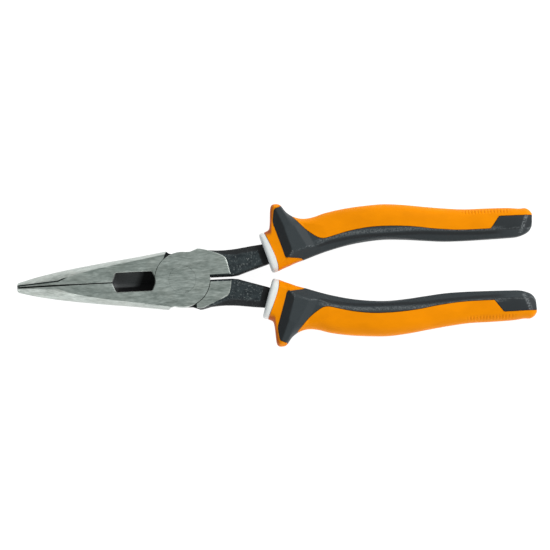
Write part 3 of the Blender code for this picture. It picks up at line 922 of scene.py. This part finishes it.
def grip_columns():
    """Finely spaced cross lines of the grip (inner x, y, outer x, y, half height), the end wall's last.

    It also returns how many come before the end wall's.
    """
    rows = [(*inner, *outer, height) for inner, outer, height in GUARD_LINES + GRIP_LINES]
    columns = smooth_rows(rows, lambda x: FINE_STEP if x > RIB_X[0] - 8 else GRID_STEP)
    wall = []
    for steps, share in END_WALL:
        column = columns[-1] + np.array([0.04, 0.1, 0.04, -0.1, 0]) * steps
        column[4] *= share
        wall.append(column)
    return np.vstack([columns, wall]), len(columns)


def grip_height(plan, across, half_height):
    """The grip's upper surface over plan points, a pillow cut by the guard's and the inner side's facets.

    It also returns what is painted there: the painted shade, the wear with painted highlight, and the
    painted shade where the fin faces forwards.
    """
    x, y = plan.T
    t = np.clip(np.abs(2 * across - 1), 0, 1)
    z = half_height * (1 - t**GRIP_SQUARENESS) ** (1 / GRIP_SQUARENESS)
    local = plan - GUARD_ORIGIN
    u, v = local @ GUARD_U, local @ GUARD_V
    ramp = FRONT_HEIGHT + FACET_RISE * np.maximum(0, u - PAD_FRONT_U)
    up_fin = FIN_FALL * np.maximum(0, v - FIN_V)
    fin = MAX_HALF_HEIGHT + FIN_RISE - up_fin
    top = np.maximum(MAX_HALF_HEIGHT - TOP_FALL * np.maximum(0, u - TOP_FROM_U), TOP_LOWEST)
    point, normal = BACK_RIDGE
    beyond = (plan - point) @ normal
    thin = FIN_THINNING * up_fin
    rise = (BACK_FALL + BACK_RISE) * np.maximum(0, beyond - BACK_WIDTH)
    back = BACK_RIDGE_HEIGHT - BACK_FALL * beyond + rise - thin
    others = soft_min(soft_min(soft_min(z, fin, PILLOW_SOFT), top, FACET_SOFT), back, BACK_SOFT)
    carved = soft_min(others, ramp - thin, FACET_SOFT)
    # Painted shade on the front facet, which faces forwards.
    painted_shade = smooth_step(0.0, 0.3, others - ramp + thin) * (u > PAD_FRONT_U - 1)
    ridge = smooth_rows(INNER_RIDGE, 0.5)
    slope = np.gradient(ridge[:, 1], ridge[:, 0])
    rows = np.column_stack([ridge[:, 1:], slope])
    ridge_y, ridge_z, slope = rows_at(x, ridge[:, 0], rows).T
    inwards = (ridge_y - y) * (1 / np.hypot(1, slope))
    bevel = ridge_z - INNER_BEVEL * inwards
    on_strip = between(x, *STRIP_X)
    # Painted shade on the inner bevel beside the ridge, and on the strip's outer side towards the end.
    painted_shade = np.maximum(painted_shade, between(inwards, *SHADE_BAND) * on_strip)
    painted_shade = np.maximum(painted_shade, 0.8 * smooth_step(*SHADE_END_X, x) * (inwards < 0))
    # Wear and painted highlight in a band above the ridge.
    wear_and_highlight = between(inwards, *WEAR_AND_HIGHLIGHT_BAND) * on_strip * 0.5
    z = soft_min(carved, bevel, BEVEL_SOFT)
    point, normal = END_FACET
    z = soft_min(z, END_FACET_HEIGHT - END_FALL * ((plan - point) @ normal), BEVEL_SOFT)
    first, last = RIB_X
    in_ribs = between(x, (first, first + RIB_FADE), (last - RIB_FADE, last))
    wave = 0.5 + 0.5 * np.cos(2 * np.pi * x / RIB_PITCH)
    z = z - RIB_DEPTH * wave**2 * between(across, *RIB_ACROSS) * in_ribs
    # Where the fin faces forwards, for the painted shade there.
    behind_front = u - FIN_FRONT_SLANT * (v - FIN_FRONT_V)
    fin_front_shade = smooth_step(*FIN_PAINT_V, v) * (1 - smooth_step(*FIN_PAINT_DEPTH, behind_front))
    paint = {"painted_shade": painted_shade, "wear_and_highlight": wear_and_highlight, "fin_front_shade": fin_front_shade}
    return np.clip(z, 0, MAX_HALF_HEIGHT), paint


class GripSurface:
    """The half's grip surface as triangles, divided along the edge of the overmould."""

    def __init__(self):
        self.length, self.share = profile_rows()
        self.columns, self.wall_from = grip_columns()
        step = [np.linalg.norm(np.diff(self.columns[:, k:k + 2], axis=0), axis=1) for k in (0, 2)]
        rise = np.abs(np.diff(self.columns[:, 4]))
        rise[:self.wall_from - 1] = 0
        self.place = summed(np.maximum(np.maximum(*step), rise))
        self.wide = self.length[-1]

    def plan(self, s, w):
        """Plan points, shares across and half heights at places s along the grip and w over it."""
        column = rows_at(s, self.place, self.columns)
        across = np.interp(w, self.length, self.share)
        points = column[:, :2] + across[:, None] * (column[:, 2:4] - column[:, :2])
        fade = 1 - smooth_step(0, 5.0, s)
        points = points + (bow(across) * fade)[:, None] * GUARD_U
        return points, across, column[:, 4]

    def domain(self, points):
        """The (s, w) places of plan points."""
        found = []
        inner, outer = self.columns[:self.wall_from, :2], self.columns[:self.wall_from, 2:4]
        for p in points:
            side = outer - inner
            reach = p - inner
            cross = side[:, 0] * reach[:, 1] - side[:, 1] * reach[:, 0]
            across = (reach * side).sum(1) / (side**2).sum(1)
            turns = np.nonzero((cross[:-1] > 0) != (cross[1:] > 0))[0]
            j = min(turns, key=lambda k: abs(across[k] - np.clip(across[k], 0, 1)))
            t = cross[j] / (cross[j] - cross[j + 1])
            s = self.place[j] + t * (self.place[j + 1] - self.place[j])
            share = np.clip(across[j] + t * (across[j + 1] - across[j]), 0, 1)
            found.append((s, np.interp(share, self.share, self.length)))
        return np.array(found)

    def edge_lines(self):
        """The two edges of the overmould in (s, w), both running off the surface's rim."""
        pad = self.domain(smooth_rows(PAD_EDGE, EDGE_STEP))
        pad[0, 1] = 0.0
        pad[-1, 1] = self.wide
        strip = self.domain(smooth_rows(STRIP_EDGE, EDGE_STEP))
        strip[0, 1] = self.wide
        end = []
        for s in self.place[self.wall_from - 6:]:
            column = rows_at(s, self.place, self.columns)
            if s > strip[-1, 0] + 0.1:
                share = (STRIP_END_Y - column[1]) / (column[3] - column[1])
                end.append((s, np.interp(share, self.share, self.length)))
        return [self.even(pad), self.even(np.vstack([strip, end]))]

    @staticmethod
    def even(line):
        """The line's points spaced evenly."""
        length = summed(np.linalg.norm(np.diff(line, axis=0), axis=1))
        count = max(2, round(length[-1] / EDGE_STEP))
        return rows_at(np.linspace(0, length[-1], count + 1), length, line)

    def triangulate(self):
        """Points in (s, w), triangles, and which points lie on the overmould's edge."""
        lines = self.edge_lines()
        points, edges, lips = [], [], []
        for line in lines:
            first = len(points)
            points += list(line)
            edges += [(first + k, first + k + 1) for k in range(len(line) - 1)]
            run = unit(np.gradient(line, axis=0))
            normal = np.column_stack([-run[:, 1], run[:, 0]])
            for side in (-LIP, LIP):
                lips += list((line + normal * side)[1:-1])
        on_edge = len(points)
        edge = np.array(points)
        lips = np.array(lips)
        inside = (lips > 0.02).all(1) & (lips < np.array([self.place[-1], self.wide]) - 0.02).all(1)
        clear = np.array([np.min(np.linalg.norm(edge - p, axis=1)) > 0.8 * LIP for p in lips])
        points += list(lips[inside & clear])
        near = np.array(points)
        w = np.linspace(0, self.wide, ROWS + 1)
        grid = np.array([(s, width) for s in self.place for width in w])
        close = np.zeros(len(grid), bool)
        for p in near:
            close |= (np.abs(grid - p) < NEAREST_POINT).all(1)
        corner = np.isin(grid[:, 0], (0, self.place[-1])) & np.isin(grid[:, 1], (0, self.wide))
        points += list(grid[~close | corner])
        made, _, faces, origins, _, _ = delaunay_2d_cdt([Vector(p) for p in points], edges, [], 0, 1e-6)
        places = np.array([tuple(p) for p in made])
        edge_points = np.array([any(k < on_edge for k in origin) for origin in origins])
        return places, [tuple(f) for f in faces], edge_points


def in_outline(points, outline):
    """Which points lie inside a plan outline."""
    x, y = points[:, 0], points[:, 1]
    inside = np.zeros(len(points), bool)
    for (x0, y0), (x1, y1) in zip(outline, np.roll(outline, -1, axis=0)):
        if y0 == y1:
            continue
        crosses = ((y0 > y) != (y1 > y)) & (x < (x1 - x0) * (y - y0) / (y1 - y0) + x0)
        inside ^= crosses
    return inside


def overmould_outline():
    """The overmould's region in plan, wide of the grip where it wraps the edge."""
    pad = smooth_rows(PAD_EDGE, EDGE_STEP)
    strip = smooth_rows(STRIP_EDGE, EDGE_STEP)
    return np.vstack([[(52.2, -2)], pad, [(45.5, 32), (47.0, 26)], strip, [(158, STRIP_END_Y), (158, -2)]])


class Grip:
    """Points and triangles of the whole grip surface, upper and lower sides joined along the rim."""

    def __init__(self):
        surface = GripSurface()
        places, faces, edge = surface.triangulate()
        plan, across, half_height = surface.plan(places[:, 0], places[:, 1])
        z, paint = grip_height(plan, across, half_height)
        rim = (places[:, 1] < 1e-6) | (places[:, 1] > surface.wide - 1e-6)
        rim |= places[:, 0] > surface.place[-1] - 1e-6
        z[rim] = 0.0
        wall = places[:, 0] > surface.place[surface.wall_from - 1]
        z[wall] = np.minimum(half_height, z)[wall]
        count = len(places)

        def both(values):
            """Values of the upper side's points, and again for the points below that aren't on the rim."""
            return np.concatenate([values, values[~rim]])

        upper = np.column_stack([plan, z])
        below = np.where(rim, np.arange(count), 0)
        below[~rim] = count + np.arange((~rim).sum())
        self.points = np.vstack([upper, upper[~rim] * (1, 1, -1)])
        self.edge = both(edge)
        self.paint = {name: both(values) for name, values in paint.items()}
        centre = np.array([places[list(f)].mean(0) for f in faces])
        covered = in_outline(surface.plan(centre[:, 0], centre[:, 1])[0], overmould_outline())
        self.faces, self.covered = [], []
        for face, grey in zip(faces, covered):
            self.faces += [face, tuple(below[k] for k in reversed(face))]
            self.covered += [grey, grey]
        self.covered = np.array(self.covered)
        front = np.nonzero(places[:, 0] < 1e-6)[0]
        front = front[np.argsort(places[front, 1])]
        self.front = list(front) + [below[k] for k in front[-2:0:-1]]
        self.normals = self.vertex_normals()
        # Wear and painted highlight, lighter on the overmould's ridges.
        self.paint["wear_and_highlight"] = np.maximum(self.ridge_wear_and_highlight(both(across)), self.paint["wear_and_highlight"])

    def vertex_normals(self):
        faces = np.array(self.faces)
        a, b, c = (self.points[faces[:, k]] for k in range(3))
        flat = np.cross(b - a, c - a)
        normals = np.zeros_like(self.points)
        for k in range(3):
            np.add.at(normals, faces[:, k], flat)
        return unit(normals)

    def ridge_wear_and_highlight(self, across):
        """Wear and painted highlight on the overmould: most on its ridges, from how sharply the surface
        turns there.
        """
        faces = np.array(self.faces)
        turn = np.zeros(len(self.points))
        count = np.zeros(len(self.points))
        for a, b in zip(faces.T, np.roll(faces, -1, axis=1).T):
            gap = self.points[b] - self.points[a]
            length = np.maximum(0.05, np.linalg.norm(gap, axis=1))
            bend = ((self.normals[b] - self.normals[a]) * gap).sum(1) / length**2
            for corner in (a, b):
                np.add.at(turn, corner, bend)
                np.add.at(count, corner, 1)
        turn /= np.maximum(1, count)
        ridge = smooth_step(0.25, 0.6, turn) * ((across > 0.05) & (across < 0.9))
        point, normal = END_FACET
        beyond = (self.points[:, :2] - point) @ normal
        end = between(beyond, (-0.6, 0.2), (0.5, 1.6))
        return 0.8 * np.maximum(ridge, end) * (np.abs(self.points[:, 2]) > 5)

    def boundary(self, chosen):
        """Edges, as (a, b) in face order, where the chosen faces end."""
        edges = {}
        for face in chosen:
            for k in range(3):
                edges[(face[k], face[(k + 1) % 3])] = True
        return [edge for edge in edges if edge[::-1] not in edges]


def sunk_points(grip, depth, away, gap):
    """The grip's points sunk by depth, with those on the overmould's edge moved away from it by gap."""
    points = grip.points - grip.normals * depth
    points[grip.edge] += away[grip.edge] * gap
    return points


def seam_directions(grip, seam):
    """Unit directions at the seam's points, away from the overmould."""
    away = np.zeros_like(grip.points)
    for a, b in seam:
        side = unit(np.cross(grip.points[b] - grip.points[a], grip.normals[a] + grip.normals[b]))
        away[a] += side
        away[b] += side
    return unit(away)


def add_grip_pieces(grip, half, turned, orange, grey):
    """The orange body, full where it shows and sunk under the overmould, and the overmould as a shell."""
    covered = [face for face, grey_there in zip(grip.faces, grip.covered) if grey_there]
    bare = [face for face, grey_there in zip(grip.faces, grip.covered) if not grey_there]
    seam = grip.boundary(covered)
    away = seam_directions(grip, seam)
    lip = LIP_DEPTH * grip.edge[:, None]
    count = len(grip.points)
    walls = [(b, a, a + count, b + count) for a, b in seam]

    outer = sunk_points(grip, lip, away, SEAM_HALF_GAP)
    floor = sunk_points(grip, OVERMOULD_DEPTH + OVERMOULD_FIT, away, SEAM_HALF_GAP)
    bore = resampled_rings(bar_rings(2 * FIT_GAP + SLEEVE_WALL), outer[grip.front])
    faces = bare + [tuple(k + count for k in face) for face in covered] + walls
    first, sides = 2 * count, len(grip.front)
    for k in range(sides):
        following = (k + 1) % sides
        faces.append((grip.front[following], grip.front[k], first + k, first + following))
    faces += [face[::-1] for face in loft_faces(len(bore), sides, first)]
    last = first + (len(bore) - 1) * sides
    faces.append(tuple(range(last, last + sides)))
    points = np.vstack([outer, floor] + bore)
    body = add_tidy_mesh(f"{half}_orange_body", points, faces, orange, turned, grip.paint)
    finish_piece(body, half, [f"{half}_grip"], 40)

    outer = sunk_points(grip, lip, away, -SEAM_HALF_GAP)
    under = sunk_points(grip, OVERMOULD_DEPTH, away, -SEAM_HALF_GAP)
    faces = covered + [tuple(k + count for k in reversed(face)) for face in covered] + walls
    points = np.vstack([outer, under])
    shell = add_tidy_mesh(f"{half}_soft_overmould", points, faces, grey, turned, grip.paint)
    finish_piece(shell, half, [f"{half}_overmould"], 40)


def resampled_rings(rings, front):
    """Rings with as many points as the front outline, at the same bearings."""
    made = []
    centre = front.mean(0)
    inner, outer = np.array(GUARD_LINES[0][:2])
    across = unit(outer - inner)
    bearing = np.arctan2(front[:, 2] - centre[2], (front[:, :2] - centre[:2]) @ across)
    for ring in rings:
        middle = ring.mean(0)
        side = unit(ring[len(ring) // 2, :2] - ring[0, :2])
        own = np.arctan2(ring[:, 2] - middle[2], (ring[:, :2] - middle[:2]) @ side)
        order = np.argsort(own)
        wrapped = np.concatenate([own[order] - 2 * np.pi, own[order], own[order] + 2 * np.pi])
        tripled = np.concatenate([ring[order]] * 3)
        made.append(rows_at(bearing, wrapped, tripled))
    return made


def add_tidy_mesh(name, points, faces, look, turned, paint):
    """A mesh without the points that no face uses, with named values painted on the first of its points."""
    used = np.unique(np.concatenate([np.array(f) for f in faces]))
    new = np.full(len(points), -1)
    new[used] = np.arange(len(used))
    faces = [tuple(int(new[k]) for k in face) for face in faces]
    item = add_mesh(name, points[used], faces, [look], turned)
    for value_name, values in paint.items():
        every = np.zeros(len(points), np.float32)
        every[:len(values)] = values
        layer = item.data.attributes.new(value_name, "FLOAT", "POINT")
        layer.data.foreach_set("value", every[used])
    return item


# ---------------------------------------------------------------- assembly and picture


def finish_piece(item, half, nodes, sharp_degrees):
    """Shades a piece, and tells the frame what it rides on and stands for."""
    item.data.shade_smooth()
    item.data.set_sharp_from_angle(angle=math.radians(sharp_degrees))
    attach(item, half)
    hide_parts(*nodes)


def add_rivet(look):
    item = add_turned("flush_rivet", rivet_profile(0.0, 0.015, 0.0), RIVET_SIDES, look)
    finish_piece(item, "half_a", ["pivot_rivet"], 32)


def add_camera():
    right = Vector((math.cos(PHOTO_TURN), -math.sin(PHOTO_TURN), 0))
    up_on_floor = Vector((math.sin(PHOTO_TURN), math.cos(PHOTO_TURN), 0))
    back = Vector((0, 0, math.cos(CAMERA_TILT))) - up_on_floor * math.sin(CAMERA_TILT)
    up = back.cross(right)
    data = bpy.data.cameras.new("camera")
    data.lens = SENSOR * CAMERA_DISTANCE / VIEW_WIDTH
    data.sensor_width = SENSOR
    camera = shown("camera", data)
    turn = Matrix((right, up, back)).transposed().to_4x4()
    target = Vector((*VIEW_CENTRE, PIVOT[2]))
    camera.matrix_world = Matrix.Translation(target + back * CAMERA_DISTANCE) @ turn
    bpy.context.scene.camera = camera


def add_area_light(name, place, size, watts):
    """A rectangular light that faces the middle of the floor under the tool."""
    data = bpy.data.lights.new(name, "AREA")
    data.shape = "RECTANGLE"
    data.size, data.size_y = size
    data.energy = watts
    light = shown(name, data)
    light.location = place
    light.rotation_euler = (-Vector(place)).to_track_quat("-Z", "Y").to_euler()
    light.visible_camera = False


def add_world():
    """A light tent: white all round, darker overhead, and open towards where the nose points."""
    world = bpy.data.worlds.new("tent")
    world.use_nodes = True
    tent = Nodes(world.node_tree)
    place = tent.split(tent.nodes.new("ShaderNodeTexCoord").outputs["Generated"])
    strengths = [tent.spread(place[axis], *fall, curve="SMOOTHSTEP") for axis, *fall in TENT]
    tint = tent.mix(tent.spread(place["Z"], TENT_OVERHEAD_Z, 1.0), *TENT_TINTS)
    background = tent.nodes["Background"]
    tent.links.new(tent.math("MULTIPLY", *strengths), background.inputs["Strength"])
    tent.links.new(tint, background.inputs["Color"])
    bpy.context.scene.world = world


def add_floor():
    size = FLOOR_HALF_WIDTH
    mesh = bpy.data.meshes.new("floor")
    corners = [(-size, -size, 0), (size, -size, 0), (size, size, 0), (-size, size, 0)]
    mesh.from_pydata(corners, [], [(0, 1, 2, 3)])
    look = Look("floor_paper")
    look.set(Base_Color=(0.2, 0.2, 0.2, 1.0), Roughness=0.9)
    look.set(Emission_Color=(1, 1, 1, 1), Emission_Strength=0.95)
    mesh.materials.append(look.made)
    shown("floor", mesh)


def build():
    steel = ground_steel("ground_steel")
    skin = black_skin("black_forging_skin")
    white = white_plastic("white_plastic")
    orange = orange_plastic("orange_plastic")
    grey = grey_rubber("grey_rubber")
    add_forgings(steel, seam_shade_steel("steel_painted_seam_shade"), skin, window_skin("window_skin"))
    add_rivet(ground_steel("rivet_face"))
    grip = Grip()
    for half, turned in HALVES:
        sleeve = add_sleeve(f"{half}_white_sleeve", turned, white)
        finish_piece(sleeve, half, [f"{half}_inner_sleeve"], 40)
        add_grip_pieces(grip, half, turned, orange, grey)
    add_floor()
    add_world()
    for light in LIGHTS:
        add_area_light(*light)
    add_camera()
    bpy.context.scene.view_settings.view_transform = "Standard"


build()
